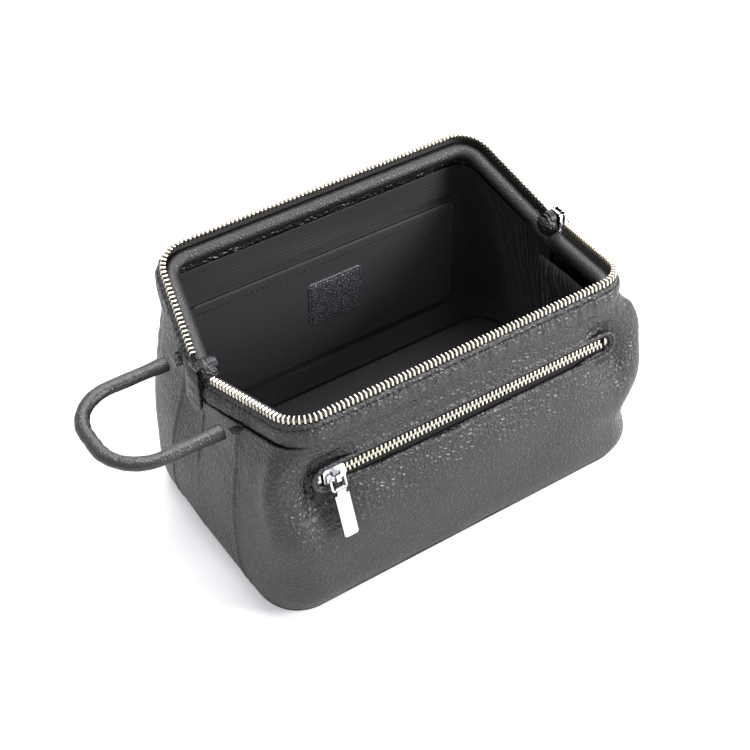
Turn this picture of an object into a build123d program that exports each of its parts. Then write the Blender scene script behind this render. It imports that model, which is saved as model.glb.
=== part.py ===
"""Framed leather toiletry bag, wide open, with a zipped mouth, a front pocket and an end handle.

The origin is the middle of the base on the surface it stands on. +X runs along the length, +Y to the back, +Z up.
"""
from build123d import *
import math
import os

os.makedirs("parts", exist_ok=True)

# base and wall shape
base_length = 242.0
base_depth = 147.0
base_corner = 26.0
foot_inset = 4.5
foot_rise = 5.0
belly_height = 38.0
belly_swell = 3.5
shoulder_height = 65.0
end_swell = 3.0
wall_corner = 17.0
leather = 1.8

# the two frame halves, in their closed plane
hinge_y = 9.0
hinge_z = 119.3
arm_reach = 70.8
bar_half = 101.0
arm_foot_half = 113.0
arm_foot_rise = 5.0
frame_corner = 18.0
front_open = 79.2
back_open = 67.5
wire_radius = 2.2
casing_radius = 4.6
casing_offset = 11.0
band_start = 5.0
band_width = 18.0
seam_gap = 0.35
closed_gap = 0.5

# zip sizes
tooth_pitch = 2.54
tooth_width = 1.1
tooth_length = 3.4
tooth_height = 2.3
tooth_start = 4.5
tape_thick = 0.6
tape_width = 10.6
row_gap = 0.7
slider_web = 0.3

# hinge hardware
pin_radius = 2.0
pin_fit = 0.05
eye_radius = 4.6
lug_thick = 1.5
lug_gap = 0.2
lug_rise = 6.0
rivet_head_radius = 3.8
rivet_head_thick = 1.4
tab_thick = 2.4
tab_width = 13.0
tab_height = 26.0

# gusset seams
gusset_foot_half = 38.0
gusset_top_half = 26.0
base_seam_height = 3.0

# lining
cloth = 0.8
lining_gap = 0.4
pocket_room = 7.5
board_thick = 2.0
board_edge = 8.0
slip_pocket_length = 176.0
slip_pocket_top = 101.0
slip_pocket_bottom = 26.0
patch_length = 36.0
patch_height = 31.0
patch_z = 69.0
patch_x = 4.0
patch_thick = 1.2

# front pocket
window_length = 187.0
window_height = 11.0
window_z = 92.0
window_depth = 3.0
chain_end_inset = 5.0
pouch_drop = 62.0
pouch_cloth = 0.5

# sliders and pullers
slider_length = 12.5
slider_width = 9.0
slider_plate = 1.0
slider_clear = 0.25
bridge_height = 4.2
bridge_width = 2.4
hang_tilt = 10.0
bridge_wire = 1.1
bail_wire_radius = 0.7
bail_width = 8.0
bail_drop = 7.5
bail_clear = 0.3
bail_corner = 1.8
puller_width = 8.0
puller_length = 26.0
puller_thick = 1.9
puller_corner = 1.4
knuckle_wall = 0.9
knuckle_fit = 0.1
slider_start = 11.0
slider_drop = 3.0

# handle
handle_radius = 3.7
handle_half = 29.0
handle_reach = 56.0
handle_corner = 24.0
handle_y = 4.0
handle_z = 108.5
handle_stand = 7.4
soft_clear = 0.3
handle_core_radius = 2.0

half_length = base_length / 2
half_depth = base_depth / 2
hinge = Vector(0, hinge_y, hinge_z)


def half_plane(side, out):
    """Plane of one frame half at rest, out mm to its outer side: x along the bag, y away from the hinge line."""
    turn = math.radians(front_open if side < 0 else back_open)
    outward = Vector(0, side * math.cos(turn), -math.sin(turn))
    return Plane(origin=hinge + outward * out, x_dir=(1, 0, 0), z_dir=(0, -math.cos(turn), side * math.sin(turn)))


def seam_height(side, y):
    """Height of the wall's top edge at y, just below the rim band of that side."""
    turn = math.radians(front_open if side < 0 else back_open)
    out = band_width + seam_gap
    y0 = hinge_y + side * out * math.cos(turn)
    z0 = hinge_z - out * math.sin(turn)
    return z0 + side * (y - y0) / math.tan(turn)


valley_z = min(seam_height(-1, hinge_y), seam_height(1, hinge_y))
front_top_y = hinge_y - arm_reach * math.sin(math.radians(front_open)) - band_width * math.cos(math.radians(front_open))
back_top_y = hinge_y + arm_reach * math.sin(math.radians(back_open)) + band_width * math.cos(math.radians(back_open))
front_top_z = seam_height(-1, front_top_y)
back_top_z = seam_height(1, back_top_y)

# height, half length at the corners, half length at the ends, front y, back y, corner radius
levels = [
    (0, half_length - foot_inset, half_length - foot_inset + 1, foot_inset - half_depth, half_depth - foot_inset, base_corner - 4),
    (foot_rise, half_length - 2, half_length - 0.5, 2 - half_depth, half_depth - 2, base_corner - 2),
    (3 * foot_rise, half_length, half_length + 2, -half_depth - 2, half_depth + 1, base_corner),
    (belly_height, half_length, half_length + end_swell, -half_depth - belly_swell, half_depth + 2, base_corner),
    (shoulder_height, half_length - 4, half_length + 1, -half_depth - 0.8, half_depth + 2, base_corner - 6),
    (window_z, half_length - 9, arm_foot_half + 4, front_top_y - 3, half_depth + 2.5, wall_corner),
    (front_top_z, bar_half + 3.5, arm_foot_half + 2.5, front_top_y, back_top_y - 1, wall_corner),
    (back_top_z + 8, bar_half + 3, arm_foot_half + 2, front_top_y, back_top_y + 1, wall_corner),
]


def body_solid(inset, front_inset, floor):
    """Closed solid of the bag's wall outline, drawn in by inset (front_inset at the front) and cut off at floor."""
    with BuildPart() as body:
        for z, corner_x, end_x, front_y, back_y, radius in levels:
            with BuildSketch(Plane.XY.offset(z)):
                with BuildLine():
                    Polyline(
                        (inset - corner_x, front_y + front_inset),
                        (corner_x - inset, front_y + front_inset),
                        (end_x - inset, hinge_y),
                        (corner_x - inset, back_y - inset),
                        (inset - corner_x, back_y - inset),
                        (inset - end_x, hinge_y),
                        close=True,
                    )
                face = make_face()
                corners = face.vertices().filter_by(lambda v: abs(v.Y - hinge_y) > 1)
                fillet(corners, radius - inset)
        loft()
        if floor > 0:
            split(bisect_by=Plane.XY.offset(floor), keep=Keep.TOP)
    return body.part


def side_block(points):
    """Block across the whole bag whose side view is the given outline of (y, z) points."""
    with BuildPart() as block:
        with BuildSketch(Plane.YZ):
            with BuildLine():
                Polyline(*points, close=True)
            make_face()
        extrude(amount=base_length, both=True)
    return block.part


front_region = side_block([
    (-base_depth, base_seam_height),
    (-gusset_foot_half, base_seam_height),
    (-gusset_top_half, seam_height(-1, -gusset_top_half)),
    (-base_depth, seam_height(-1, -base_depth)),
])
back_region = side_block([
    (base_depth, base_seam_height),
    (gusset_foot_half, base_seam_height),
    (gusset_top_half, seam_height(1, gusset_top_half)),
    (base_depth, seam_height(1, base_depth)),
])
gusset_region = side_block([
    (-gusset_foot_half, base_seam_height),
    (gusset_foot_half, base_seam_height),
    (gusset_top_half, seam_height(1, gusset_top_half)),
    (hinge_y, valley_z),
    (-gusset_top_half, seam_height(-1, -gusset_top_half)),
])
under_seam = side_block([
    (-base_depth, 0), (base_depth, 0), (base_depth, seam_height(1, base_depth)), (hinge_y, valley_z),
    (-base_depth, seam_height(-1, -base_depth)),
])
base_region = side_block([
    (-base_depth, 0), (base_depth, 0), (base_depth, base_seam_height), (-base_depth, base_seam_height),
])

outer = body_solid(0, 0, 0)
shell = outer - body_solid(leather, leather, leather)
lining_inset = leather + lining_gap
front_inset = leather + pocket_room
lining_floor = leather + board_thick + lining_gap
lining_shell = (body_solid(lining_inset, front_inset, lining_floor)
                - body_solid(lining_inset + cloth, front_inset + cloth, lining_floor + cloth))

# outward normal of the front wall at the pocket window
window_front = levels[5][3]
window_lean = math.atan2(levels[6][3] - levels[4][3], levels[6][0] - levels[4][0])
window_normal = Vector(0, -math.cos(window_lean), math.sin(window_lean))
window_origin = Vector(0, window_front, window_z)


def window_plane(depth):
    return Plane(origin=window_origin - window_normal * depth, x_dir=(1, 0, 0), z_dir=window_normal)


# leather walls and base
with BuildPart() as front_panel:
    add(front_region)
    add(shell, mode=Mode.INTERSECT)
    with BuildSketch(window_plane(-leather * 2)):
        SlotOverall(window_length, window_height)
    extrude(amount=-leather * 6, mode=Mode.SUBTRACT)
front_panel.part.label = "front_panel"
export_step(front_panel.part, "parts/front_panel.step")

with BuildPart() as back_panel:
    add(back_region)
    add(shell, mode=Mode.INTERSECT)
back_panel.part.label = "back_panel"
export_step(back_panel.part, "parts/back_panel.step")

with BuildPart() as base_panel:
    add(base_region)
    add(shell, mode=Mode.INTERSECT)
base_panel.part.label = "base_panel"
export_step(base_panel.part, "parts/base_panel.step")

for name, side in (("left_gusset", -1), ("right_gusset", 1)):
    with BuildPart() as gusset:
        add(gusset_region)
        add(shell, mode=Mode.INTERSECT)
        split(bisect_by=Plane.YZ, keep=Keep.TOP if side > 0 else Keep.BOTTOM)
    gusset.part.label = name
    export_step(gusset.part, f"parts/{name}.step")

# stiffening board under the lining
with BuildPart() as base_board:
    with BuildSketch(Plane.XY.offset(leather)):
        RectangleRounded(base_length - 2 * (foot_inset + board_edge), base_depth - 2 * (foot_inset + board_edge),
                         base_corner - board_edge - foot_inset)
    extrude(amount=board_thick)
base_board.part.label = "base_board"
export_step(base_board.part, "parts/base_board.step")

# cloth lining
lining_base_top = base_seam_height + lining_floor
for name, region in (("lining_front", front_region), ("lining_back", back_region)):
    with BuildPart() as lining:
        add(region)
        add(lining_shell, mode=Mode.INTERSECT)
        split(bisect_by=Plane.XY.offset(lining_base_top), keep=Keep.TOP)
    lining.part.label = name
    export_step(lining.part, f"parts/{name}.step")

for name, side in (("lining_left", -1), ("lining_right", 1)):
    with BuildPart() as lining:
        add(gusset_region)
        add(lining_shell, mode=Mode.INTERSECT)
        split(bisect_by=Plane.XY.offset(lining_base_top), keep=Keep.TOP)
        split(bisect_by=Plane.YZ, keep=Keep.TOP if side > 0 else Keep.BOTTOM)
    lining.part.label = name
    export_step(lining.part, f"parts/{name}.step")

with BuildPart() as lining_base:
    add(lining_shell)
    split(bisect_by=Plane.XY.offset(lining_base_top), keep=Keep.BOTTOM)
lining_base.part.label = "lining_base"
export_step(lining_base.part, "parts/lining_base.step")

# open pocket on the back lining, and its leather patch
lining_back_y = half_depth + 2 - lining_inset - cloth
slip_y = lining_back_y - lining_gap
with BuildPart() as slip_pocket:
    with BuildSketch(Plane.XZ.offset(-slip_y)):
        with Locations((0, (slip_pocket_top + slip_pocket_bottom) / 2)):
            RectangleRounded(slip_pocket_length, slip_pocket_top - slip_pocket_bottom, 6)
    extrude(amount=cloth)
slip_pocket.part.label = "slip_pocket"
export_step(slip_pocket.part, "parts/slip_pocket.step")

with BuildPart() as patch:
    with BuildSketch(Plane.XZ.offset(cloth - slip_y)):
        with Locations((patch_x, patch_z)):
            RectangleRounded(patch_length, patch_height, 3.5)
    extrude(amount=patch_thick)
patch.part.label = "leather_patch"
export_step(patch.part, "parts/leather_patch.step")

# front pocket zip, straight along the window
chain_length = window_length - 2 * chain_end_inset
tooth_grip = tooth_length * 0.76
for name, side in (("pocket_tape_upper", 1), ("pocket_tape_lower", -1)):
    with BuildPart() as tape:
        with BuildSketch(window_plane(window_depth + tape_thick / 2)):
            with Locations((0, side * (tooth_grip + tape_width / 2))):
                Rectangle(window_length, tape_width)
        extrude(amount=tape_thick)
    tape.part.label = name
    export_step(tape.part, f"parts/{name}.step")

tooth_count = int(chain_length / tooth_pitch)
for name, side, shift in (("pocket_teeth_upper", 1, 0), ("pocket_teeth_lower", -1, tooth_pitch / 2)):
    with BuildPart() as teeth:
        with BuildSketch(window_plane(window_depth + tooth_height / 2)):
            with Locations((shift, side * (tooth_grip + row_gap / 2) / 2)):
                with GridLocations(tooth_pitch, 1, tooth_count, 1):
                    Rectangle(tooth_width, tooth_grip - row_gap / 2)
        extrude(amount=tooth_height)
    teeth.part.label = name
    export_step(teeth.part, f"parts/{name}.step")

row_half = tooth_pitch * (tooth_count - 1) / 2 + tooth_width / 2
with BuildPart() as pocket_stops:
    with BuildSketch(window_plane(window_depth + tooth_height / 2)):
        for side in (-1, 1):
            with Locations((side * (row_half + tooth_pitch + 1.2), 0)):
                Rectangle(2, 2 * tooth_grip - 2 * lug_gap)
    extrude(amount=tooth_height)
pocket_stops.part.label = "pocket_stops"
export_step(pocket_stops.part, "parts/pocket_stops.step")

with BuildPart() as pouch:
    with BuildSketch(window_plane(window_depth + tape_thick / 2 + tooth_height)):
        with Locations((0, tape_width / 2 - pouch_drop / 2)):
            RectangleRounded(window_length, pouch_drop, 8)
    extrude(amount=-pouch_cloth)
pouch.part.label = "pocket_pouch"
export_step(pouch.part, "parts/pocket_pouch.step")


def slider_part(plane):
    """Slider on a chain through the plane's origin: plates over and under the teeth, side walls slotted for the tape."""
    inner = tooth_height / 2 + slider_clear
    with BuildPart() as slider:
        with BuildSketch(plane.offset(-inner - slider_plate)):
            RectangleRounded(slider_length, slider_width, 2)
        extrude(amount=2 * (inner + slider_plate))
        with BuildSketch(plane.offset(-inner)):
            Rectangle(2 * slider_length, slider_width - 2 * slider_plate)
        extrude(amount=2 * inner, mode=Mode.SUBTRACT)
        with BuildSketch(plane.offset(-tape_thick / 2 - slider_clear)):
            Rectangle(2 * slider_length, 2 * slider_width)
        extrude(amount=tape_thick + 2 * slider_clear, mode=Mode.SUBTRACT)
        with BuildSketch(plane.offset(-inner - slider_plate / 2)):
            Rectangle(slider_length - 4, slider_web)
        extrude(amount=2 * inner + slider_plate)
    return slider.part


def bridge_part(plane, top):
    """Small arch on a slider whose top face is top above the plane, its opening along the plane's x."""
    with BuildPart() as bridge:
        with BuildSketch(plane.offset(top)):
            Rectangle(bridge_width, 2 * (bail_wire_radius + bail_clear + bridge_wire))
        extrude(amount=bridge_height)
        with BuildSketch(plane.offset(top)):
            Rectangle(2 * bridge_width, 2 * (bail_wire_radius + bail_clear))
        extrude(amount=bridge_height - bridge_wire, mode=Mode.SUBTRACT)
    return bridge.part


slider_top = tooth_height / 2 + slider_clear + slider_plate
bail_axis_up = slider_top + bridge_height - bridge_wire - bail_clear - bail_wire_radius


def bail_part(plane):
    """Closed wire link hanging down the plane's -y, its upper bar along x through the plane's origin."""
    middle = Plane(origin=plane.origin - plane.y_dir * bail_drop / 2, x_dir=plane.x_dir, z_dir=plane.z_dir)
    with BuildSketch(middle) as outline:
        RectangleRounded(bail_width, bail_drop, bail_corner)
    route = outline.sketch.face().outer_wire()
    with BuildPart() as bail:
        with BuildSketch(Plane(origin=route @ 0, x_dir=plane.z_dir, z_dir=route % 0)):
            Circle(bail_wire_radius)
        sweep(path=route)
    return bail.part


def puller_part(plane):
    """Bar with a rolled knuckle round the bail's lower bar, hanging down the plane's -y from the plane's origin."""
    knuckle = bail_wire_radius + knuckle_fit + knuckle_wall
    with BuildPart() as puller:
        with BuildSketch(plane.offset(-puller_thick / 2)):
            with Locations((0, -puller_length / 2)):
                RectangleRounded(puller_width, puller_length, puller_corner)
            with Locations((0, 0)):
                Rectangle(puller_width + 1, 2 * knuckle + 1.4, mode=Mode.SUBTRACT)
            with Locations((0, -knuckle / 2 - 0.35)):
                Rectangle(bail_width - 2 * bail_wire_radius - 1.6, knuckle + 1.0)
        extrude(amount=puller_thick)
        with BuildSketch(Plane(origin=plane.origin, x_dir=plane.z_dir, z_dir=plane.x_dir)):
            Circle(knuckle)
        extrude(amount=bail_width / 2 - bail_wire_radius - 0.8, both=True)
        with BuildSketch(Plane(origin=plane.origin, x_dir=plane.z_dir, z_dir=plane.x_dir)):
            Circle(bail_wire_radius + knuckle_fit)
        extrude(amount=bail_width, both=True, mode=Mode.SUBTRACT)
    return puller.part


def add_pull(prefix, slider_plane, hang_plane):
    """Writes the slider, its bail and its puller: the slider runs along slider_plane's x, the pull hangs down hang_plane."""
    with BuildPart() as slider:
        add(slider_part(slider_plane))
        add(bridge_part(hang_plane, slider_top))
    slider.part.label = f"{prefix}_slider"
    export_step(slider.part, f"parts/{prefix}_slider.step")
    lifted = hang_plane.offset(bail_axis_up)
    tilt = math.radians(hang_tilt)
    lower = Plane(origin=lifted.origin, x_dir=lifted.x_dir,
                  z_dir=lifted.z_dir * math.cos(tilt) + lifted.y_dir * math.sin(tilt))
    bail = bail_part(lower)
    bail.label = f"{prefix}_bail"
    export_step(bail, f"parts/{prefix}_bail.step")
    lower_bar = Plane(origin=lower.origin - lower.y_dir * bail_drop, x_dir=lower.x_dir, z_dir=lower.z_dir)
    puller = puller_part(lower_bar)
    puller.label = f"{prefix}_puller"
    export_step(puller, f"parts/{prefix}_puller.step")
    print(prefix, "bail axis", lower.origin, "puller axis", lower_bar.origin)


slider_x = slider_start - window_length / 2
pocket_plane = window_plane(window_depth)
pocket_slider_plane = Plane(origin=pocket_plane.origin + Vector(slider_x, 0, 0), x_dir=(1, 0, 0), z_dir=window_normal)
add_pull("pocket", pocket_slider_plane, pocket_slider_plane)

# mouth slider at the right hinge, running up and down there, its pull hanging outside
mouth_x = arm_foot_half + 1.6
mouth_slider_z = hinge_z - slider_drop
mouth_hang = Plane(origin=(mouth_x, hinge_y, mouth_slider_z), x_dir=(0, 1, 0), z_dir=(1, 0, 0))
mouth_run = Plane(origin=(mouth_x, hinge_y, mouth_slider_z), x_dir=(0, 0, 1), z_dir=(1, 0, 0))
add_pull("mouth", mouth_run, mouth_hang)

tape_end_low = valley_z - 8.0
with BuildPart() as mouth_tape_end:
    with BuildSketch(Plane.YZ.offset(mouth_x - tape_thick / 2)):
        with Locations((hinge_y, (mouth_slider_z + slider_length / 2 + tape_end_low) / 2)):
            Rectangle(slider_width + 2, mouth_slider_z + slider_length / 2 - tape_end_low)
    extrude(amount=tape_thick)
    with BuildSketch(Plane.YZ.offset(mouth_x - tape_thick)):
        with Locations((hinge_y, mouth_slider_z)):
            Rectangle(slider_width - 2 * slider_plate, 2 * slider_length)
    extrude(amount=2 * tape_thick, mode=Mode.SUBTRACT)
    add(outer, mode=Mode.SUBTRACT)

# frame halves: wire, leather casing, rim band, tape and teeth
for word, side in (("front", -1), ("back", 1)):
    flat = half_plane(side, 0)
    outward = -flat.z_dir if side > 0 else flat.z_dir
    with BuildLine(flat) as rim_path:
        FilletPolyline(
            (-arm_foot_half, arm_foot_rise), (-bar_half, arm_reach), (bar_half, arm_reach),
            (arm_foot_half, arm_foot_rise), radius=frame_corner,
        )
    rim = rim_path.wire()
    start = rim @ 0
    along = rim % 0
    radial = outward.cross(along)
    if radial.X > 0:
        radial = -radial
    # section x away from the bag's middle, section y to the frame's outer side
    section = Plane(origin=start, x_dir=radial, z_dir=along)
    out_sign = 1 if section.y_dir.dot(outward) > 0 else -1
    roll_centre = (-tape_thick / 2 - casing_radius, out_sign * casing_offset)

    with BuildPart() as wire:
        with BuildSketch(section):
            with Locations(roll_centre):
                Circle(wire_radius)
        sweep(path=rim)
        shift = (lug_thick + lug_gap) / 2 * -side
        for end in (-1, 1):
            foot_x = end * (arm_foot_half - tape_thick / 2 - casing_radius)
            lug_x = foot_x + shift
            profile = Plane(origin=(lug_x - lug_thick / 2, hinge_y, hinge_z), x_dir=flat.y_dir, z_dir=(1, 0, 0))
            down = 1 if profile.y_dir.dot(outward) > 0 else -1
            with BuildSketch(profile):
                with Locations((lug_rise / 2, down * casing_offset / 2)):
                    SlotCenterToCenter(math.hypot(lug_rise, casing_offset), 2 * wire_radius,
                                       rotation=down * math.degrees(math.atan2(casing_offset, lug_rise)))
                Circle(eye_radius)
                Circle(pin_radius + pin_fit, mode=Mode.SUBTRACT)
            extrude(amount=lug_thick)
    wire.part.label = f"{word}_frame_wire"
    export_step(wire.part, f"parts/{word}_frame_wire.step")

    with BuildPart() as casing:
        with BuildSketch(section):
            with Locations(roll_centre):
                Circle(casing_radius)
                Circle(wire_radius, mode=Mode.SUBTRACT)
        sweep(path=rim)
        add(wire.part, mode=Mode.SUBTRACT)
    casing.part.label = f"{word}_frame_casing"
    export_step(casing.part, f"parts/{word}_frame_casing.step")

    with BuildPart() as band:
        with BuildSketch(section):
            with Locations((tape_thick / 2 + leather / 2, out_sign * (band_start + band_width) / 2)):
                Rectangle(leather, band_width - band_start)
        sweep(path=rim)
    band.part.label = f"{word}_rim_band"
    export_step(band.part, f"parts/{word}_rim_band.step")

    with BuildPart() as tape:
        with BuildSketch(section):
            with Locations((0, out_sign * (closed_gap / 2 + tooth_length + tape_width / 2))):
                Rectangle(tape_thick, tape_width)
        sweep(path=rim)
    tape.part.label = f"{word}_mouth_tape"
    export_step(tape.part, f"parts/{word}_mouth_tape.step")

    count = int((rim.length - 2 * tooth_start) / tooth_pitch)
    first = (rim.length - tooth_pitch * (count - 1)) / 2
    places = []
    for i in range(count):
        at = (first + i * tooth_pitch) / rim.length
        away = outward.cross(rim % at)
        if away.dot((rim @ at) - hinge) < 0:
            away = -away
        middle = (rim @ at) + outward * (closed_gap / 2 + tooth_length / 2)
        places.append(Plane(origin=middle, x_dir=rim % at, z_dir=away).location)
    with BuildPart() as teeth:
        with Locations(*places):
            Box(tooth_width, tooth_length, tooth_height)
    teeth.part.label = f"{word}_mouth_teeth"
    export_step(teeth.part, f"parts/{word}_mouth_teeth.step")

# hinge rivets through the lugs of both halves
pin_inner = arm_foot_half - tape_thick / 2 - casing_radius - lug_thick - lug_gap / 2 - 0.4
for name, side, pin_outer in (("left_hinge_rivet", -1, arm_foot_half + 2.2),
                              ("right_hinge_rivet", 1, mouth_x - slider_top - lug_gap)):
    with BuildPart() as rivet:
        with BuildSketch(Plane.YZ.offset(side * (pin_inner - rivet_head_thick))):
            with Locations((hinge_y, hinge_z)):
                Circle(rivet_head_radius)
        extrude(amount=side * rivet_head_thick)
        with BuildSketch(Plane.YZ.offset(side * (pin_inner - rivet_head_thick / 2))):
            with Locations((hinge_y, hinge_z)):
                Circle(pin_radius)
        extrude(amount=side * (pin_outer - pin_inner + rivet_head_thick / 2))
    rivet.part.label = name
    export_step(rivet.part, f"parts/{name}.step")

# leather tab over the zip's end, and the tape end under the slider
with BuildPart() as zip_tab:
    with BuildSketch(Plane.YZ.offset(-arm_foot_half - 2.2 - tab_thick)):
        with Locations((hinge_y, hinge_z + eye_radius - tab_height / 2)):
            RectangleRounded(tab_width, tab_height, 4)
    extrude(amount=tab_thick)
    add(outer, mode=Mode.SUBTRACT)
zip_tab.part.label = "zip_end_tab"
export_step(zip_tab.part, "parts/zip_end_tab.step")
mouth_tape_end.part.label = "mouth_tape_end"
export_step(mouth_tape_end.part, "parts/mouth_tape_end.step")

# rolled handle on the left end, its cord core, and the two stubs that it bends at
handle_root_x = -(arm_foot_half + tape_thick + handle_stand)
far_x = handle_root_x - handle_reach
with BuildLine(Plane.XY.offset(handle_z)) as handle_path:
    FilletPolyline(
        (handle_root_x, handle_y - handle_half), (far_x, handle_y - handle_half),
        (far_x, handle_y + handle_half), (handle_root_x, handle_y + handle_half), radius=handle_corner,
    )
handle_start = Plane(origin=(handle_root_x, handle_y - handle_half, handle_z), x_dir=(0, 1, 0), z_dir=(-1, 0, 0))
with BuildPart() as handle_core:
    with BuildSketch(handle_start):
        Circle(handle_core_radius)
    sweep(path=handle_path.wire())
handle_core.part.label = "handle_core"
export_step(handle_core.part, "parts/handle_core.step")

with BuildPart() as handle:
    with BuildSketch(handle_start):
        Circle(handle_radius)
    sweep(path=handle_path.wire())
    with Locations((handle_root_x, handle_y - handle_half, handle_z), (handle_root_x, handle_y + handle_half, handle_z)):
        Sphere(handle_radius)
    add(handle_core.part, mode=Mode.SUBTRACT)
handle.part.label = "handle"
export_step(handle.part, "parts/handle.step")

stub_end = handle_root_x + handle_radius + soft_clear
with BuildPart() as handle_stubs:
    with BuildSketch(Plane.YZ.offset(stub_end)):
        with Locations((handle_y - handle_half, handle_z), (handle_y + handle_half, handle_z)):
            Circle(handle_radius)
    extrude(amount=handle_stand * 3)
    add(under_seam, mode=Mode.INTERSECT)
    add(outer, mode=Mode.SUBTRACT)
handle_stubs.part.label = "handle_stubs"
export_step(handle_stubs.part, "parts/handle_stubs.step")
print("handle axis", handle_root_x, handle_y, handle_z)
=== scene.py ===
import bmesh
import bpy
import math
import numpy as np
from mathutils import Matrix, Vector


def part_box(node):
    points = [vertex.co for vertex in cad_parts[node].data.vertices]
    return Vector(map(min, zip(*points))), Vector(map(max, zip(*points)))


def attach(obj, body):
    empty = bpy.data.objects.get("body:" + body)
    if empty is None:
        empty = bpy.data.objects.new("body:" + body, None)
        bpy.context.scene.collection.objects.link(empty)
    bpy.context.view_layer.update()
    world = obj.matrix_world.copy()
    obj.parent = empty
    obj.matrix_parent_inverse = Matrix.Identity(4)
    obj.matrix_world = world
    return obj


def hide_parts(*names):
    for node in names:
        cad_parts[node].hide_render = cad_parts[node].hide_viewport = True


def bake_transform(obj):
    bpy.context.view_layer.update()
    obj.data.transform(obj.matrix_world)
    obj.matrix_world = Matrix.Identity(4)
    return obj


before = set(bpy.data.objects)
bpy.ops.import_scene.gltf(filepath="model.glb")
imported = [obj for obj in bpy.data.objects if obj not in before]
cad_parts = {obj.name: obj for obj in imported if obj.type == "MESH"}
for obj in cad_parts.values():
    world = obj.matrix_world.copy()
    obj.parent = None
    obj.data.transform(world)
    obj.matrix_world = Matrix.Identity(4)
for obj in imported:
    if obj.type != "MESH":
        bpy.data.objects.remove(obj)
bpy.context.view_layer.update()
mm = 0.001
rng = np.random.default_rng(7)

# sizes of the CAD model in millimetres
bag = {
    "halfLength": 121.0, "halfDepth": 73.5, "corner": 26.0, "footInset": 4.5, "footRise": 5.0,
    "bellyHeight": 38.0, "bellySwell": 3.5, "shoulder": 65.0, "endSwell": 3.0, "wallCorner": 17.0,
    "leather": 1.8, "windowZ": 92.0, "windowLength": 187.0, "windowHeight": 11.0,
}
rim = {
    "hingeY": 9.0, "hingeZ": 119.3, "reach": 70.8, "barHalf": 101.0, "footHalf": 113.0, "footRise": 5.0,
    "corner": 18.0, "frontOpen": math.radians(79.2), "backOpen": math.radians(67.5),
    "bandStart": 5.0, "bandWidth": 18.0, "pitch": 2.54,
}
handleSize = {"rootX": -121.0, "y": 4.0, "z": 108.5, "half": 29.0, "reach": 56.0, "corner": 24.0, "thick": 3.9}


def linear(hexColour):
    # hex sRGB to linear RGBA
    values = [int(hexColour[i:i + 2], 16) / 255 for i in (1, 3, 5)]
    return tuple(c / 12.92 if c <= 0.04045 else ((c + 0.055) / 1.055) ** 2.4 for c in values) + (1.0,)


def addNode(tree, kind, settings=None, inputs=None, links=None):
    # adds a node, sets its properties and inputs, and links other sockets into it
    node = tree.nodes.new(kind)
    for key, value in (settings or {}).items():
        setattr(node, key, value)
    for key, value in (inputs or {}).items():
        node.inputs[key].default_value = value
    for key, socket in (links or {}).items():
        tree.links.new(socket, node.inputs[key])
    return node


def newMaterial(name, colour, rough, metal=0.0, specular=0.5):
    mat = bpy.data.materials.new(name)
    mat.use_nodes = True
    tree = mat.node_tree
    shader = tree.nodes["Principled BSDF"]
    shader.inputs["Base Color"].default_value = linear(colour)
    shader.inputs["Roughness"].default_value = rough
    shader.inputs["Metallic"].default_value = metal
    shader.inputs["Specular IOR Level"].default_value = specular
    coords = addNode(tree, "ShaderNodeTexCoord")
    return mat, tree, shader, coords.outputs["Object"]


def milledLeather(name, colour="#191a1e", crease="#050506", grain=2.7, depth=0.75, rough=0.34):
    # milled calf leather: pebbled cells that catch the light one by one, and fine pores between them; the base
    # colour carries painted shade that darkens the creases between the cells
    mat, tree, shader, place = newMaterial(name, colour, rough, specular=0.7)
    warp = addNode(tree, "ShaderNodeTexNoise", inputs={"Scale": 260.0, "Detail": 2.0},
                   links={"Vector": place})
    shifted = addNode(tree, "ShaderNodeVectorMath", {"operation": "MULTIPLY_ADD"},
                      {1: (0.0009, 0.0009, 0.0009)}, {0: warp.outputs["Color"], 2: place})
    cells = addNode(tree, "ShaderNodeTexVoronoi", {"feature": "DISTANCE_TO_EDGE"},
                    {"Scale": 1000 / grain}, {"Vector": shifted.outputs[0]})
    dome = addNode(tree, "ShaderNodeMapRange", {"interpolation_type": "SMOOTHSTEP"},
                   {"From Min": 0.0, "From Max": 0.42}, {"Value": cells.outputs["Distance"]})
    pores = addNode(tree, "ShaderNodeTexNoise", inputs={"Scale": 2200.0, "Detail": 3.0},
                    links={"Vector": place})
    sum1 = addNode(tree, "ShaderNodeMath", {"operation": "MULTIPLY_ADD"}, {1: 0.04},
                   {0: pores.outputs["Fac"], 2: dome.outputs["Result"]})
    bump = addNode(tree, "ShaderNodeBump", inputs={"Strength": depth, "Distance": 0.0006},
                   links={"Height": sum1.outputs[0]})
    tree.links.new(bump.outputs["Normal"], shader.inputs["Normal"])
    shine = addNode(tree, "ShaderNodeMapRange", inputs={"To Min": rough + 0.16, "To Max": rough - 0.04},
                    links={"Value": dome.outputs["Result"]})
    tree.links.new(shine.outputs["Result"], shader.inputs["Roughness"])
    # painted shade: the base colour runs from the crease colour in the grooves between cells to the surface
    # colour on the cell tops
    creaseShade = addNode(tree, "ShaderNodeMix", {"data_type": "RGBA"}, links={"Factor": dome.outputs["Result"]})
    colours = [socket for socket in creaseShade.inputs if socket.type == "RGBA"]
    colours[0].default_value, colours[1].default_value = linear(crease), linear(colour)
    result = [socket for socket in creaseShade.outputs if socket.type == "RGBA"][0]
    tree.links.new(result, shader.inputs["Base Color"])
    return mat


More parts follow.
